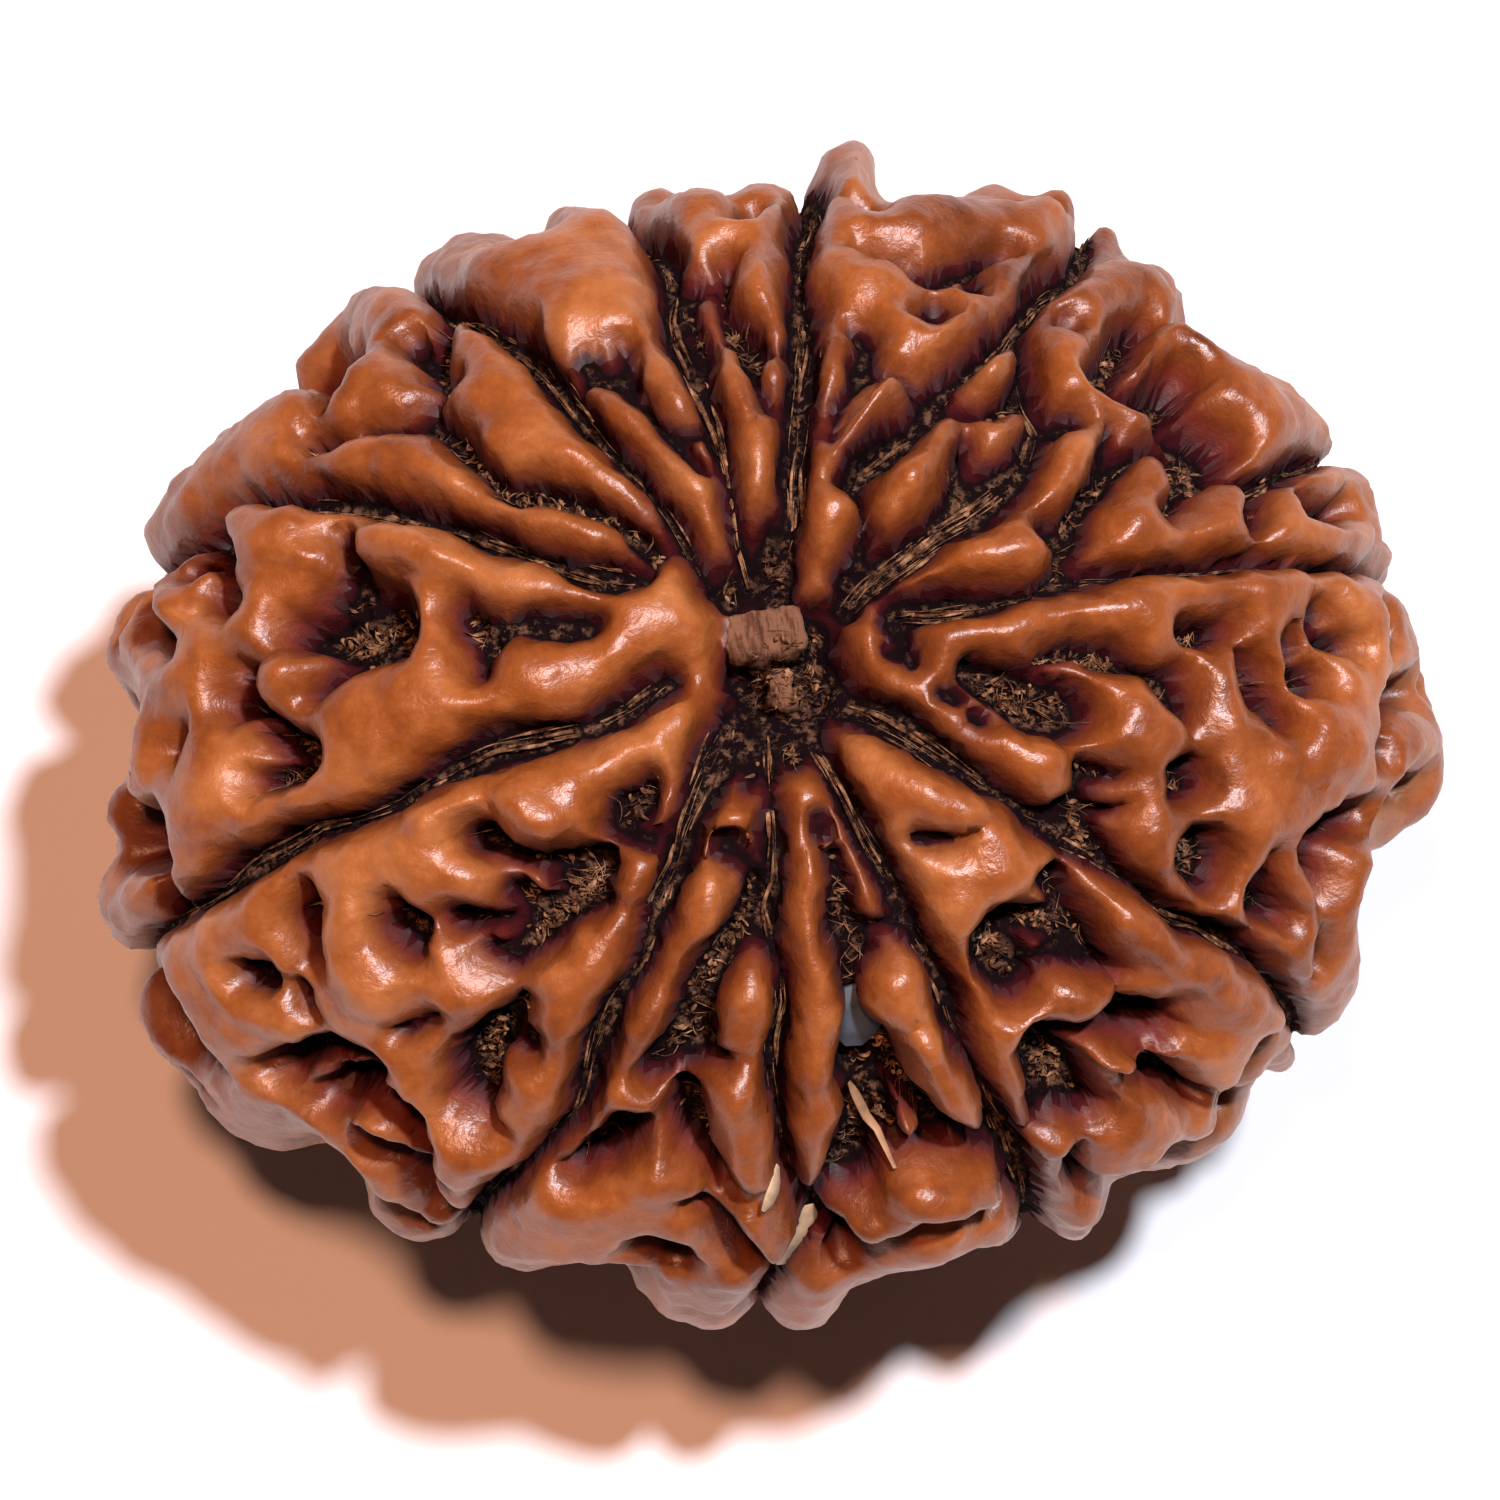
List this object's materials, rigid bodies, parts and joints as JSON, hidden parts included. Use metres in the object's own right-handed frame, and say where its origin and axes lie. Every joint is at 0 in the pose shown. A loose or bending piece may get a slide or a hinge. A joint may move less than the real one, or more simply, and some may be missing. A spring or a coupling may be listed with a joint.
{
  "type": "rudraksha bead",
  "caption": "Dried rudraksha seed stone, a flattened round bead with deep furrows from pole to pole, pitted ridges between them and a fibrous stalk stub in its top.",
  "frame": {"origin": "middle of the bead's outline, on the small flat that it rests on", "axes": "+Z along the pole axis, up to the pole with the stalk stub; +X along the bead's longest width; +Y across it, away from the viewer of the picture"},
  "size_m": [0.0282, 0.0248, 0.0199],
  "materials": {
    "seed_skin": "hard seed skin, rubbed smooth on its ridges and dull in its pits",
    "dry_fibre": "dry matt fibres and crumbs of fruit flesh in the furrows"
  },
  "bodies": {
    "root": {"bead": "seed_skin"}
  },
  "joints": []
}
